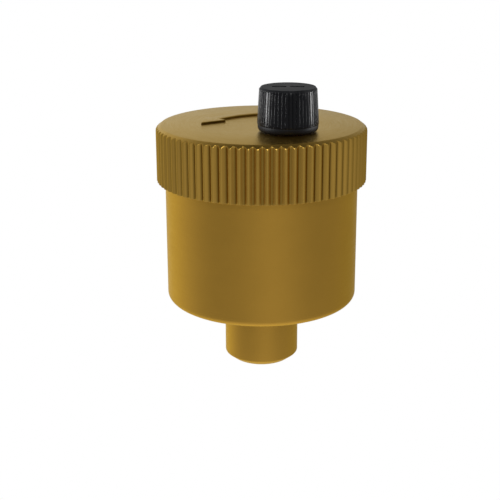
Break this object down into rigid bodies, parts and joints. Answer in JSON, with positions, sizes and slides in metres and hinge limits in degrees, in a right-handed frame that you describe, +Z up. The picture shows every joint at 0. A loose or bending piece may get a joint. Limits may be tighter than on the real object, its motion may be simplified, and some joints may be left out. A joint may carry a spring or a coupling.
{
  "type": "automatic air vent",
  "caption": "Float-operated automatic air vent: brass cup on a pipe spigot, knurled screw cover and an offset ribbed dust cap over the vent nozzle.",
  "frame": {"origin": "centre of the flat end of the pipe spigot, on the cup's axis", "axes": "+Z up along the cup's axis towards the cover, +X from the axis towards the vent nozzle and its cap"},
  "size_m": [0.0464, 0.0464, 0.0641],
  "materials": {
    "body_brass": "satin turned yellow brass",
    "cover_brass": "satin yellow brass, knurled side",
    "valve_brass": "fine turned brass",
    "cap_plastic": "moulded black plastic, ribbed",
    "rubber": "moulded seal rubber",
    "steel": "stainless steel",
    "lever_plastic": "moulded white acetal",
    "float_plastic": "moulded natural polypropylene"
  },
  "bodies": {
    "cup": {"body_cup": "body_brass"},
    "cover_seal": {"cover_o_ring": "rubber"},
    "cover": {"cover": "cover_brass", "vent_nozzle": "valve_brass", "nozzle_gasket": "rubber", "nozzle_nut": "valve_brass", "lever_bracket": "steel", "bracket_screw_1": "steel", "bracket_screw_2": "steel", "pivot_pin": "steel", "pivot_clip": "steel", "valve_spring": "steel"},
    "cap_washer": {"cap_seal": "rubber"},
    "cap": {"vent_cap": "cap_plastic"},
    "float": {"float_shell": "float_plastic", "float_base": "float_plastic", "float_yoke": "lever_plastic", "link_pin": "steel", "link_clip": "steel"},
    "lever": {"float_lever": "lever_plastic"},
    "valve": {"valve_stem": "valve_brass", "valve_seal": "rubber"}
  },
  "joints": [
    {"name": "cover_lift", "type": "slide", "parent": "cup", "child": "cover_seal", "axis": [0, 0, 1], "range_m": [0, 0.006]},
    {"name": "cover_turn", "type": "hinge", "parent": "cover_seal", "child": "cover", "pos_m": [0, 0, 0.048], "axis": [0, 0, 1], "range_deg": [0, 1440]},
    {"name": "cap_lift", "type": "slide", "parent": "cover", "child": "cap_washer", "axis": [0, 0, 1], "range_m": [0, 0.0016]},
    {"name": "cap_turn", "type": "hinge", "parent": "cap_washer", "child": "cap", "pos_m": [0.0104, 0, 0.059], "axis": [0, 0, 1], "range_deg": [0, 720]},
    {"name": "float_rise", "type": "slide", "parent": "cover", "child": "float", "axis": [0, 0, 1], "range_m": [0, 0.0036]},
    {"name": "lever_tilt", "type": "hinge", "parent": "cover", "child": "lever", "pos_m": [0.0158, 0, 0.0445], "axis": [0, 1, 0], "range_deg": [0, 12.43]},
    {"name": "valve_close", "type": "slide", "parent": "cover", "child": "valve", "axis": [0, 0, 1], "range_m": [0, 0.00118], "deforming": ["valve_spring"]}
  ],
  "couplings": [
    {"joint": "cover_turn", "follows": "cover_lift", "rad_per_m": 4188.8},
    {"joint": "cap_turn", "follows": "cap_lift", "rad_per_m": 7854},
    {"joint": "lever_tilt", "follows": "float_rise", "rad_per_m": 60.241},
    {"joint": "valve_close", "follows": "float_rise", "ratio": 0.3253}
  ]
}
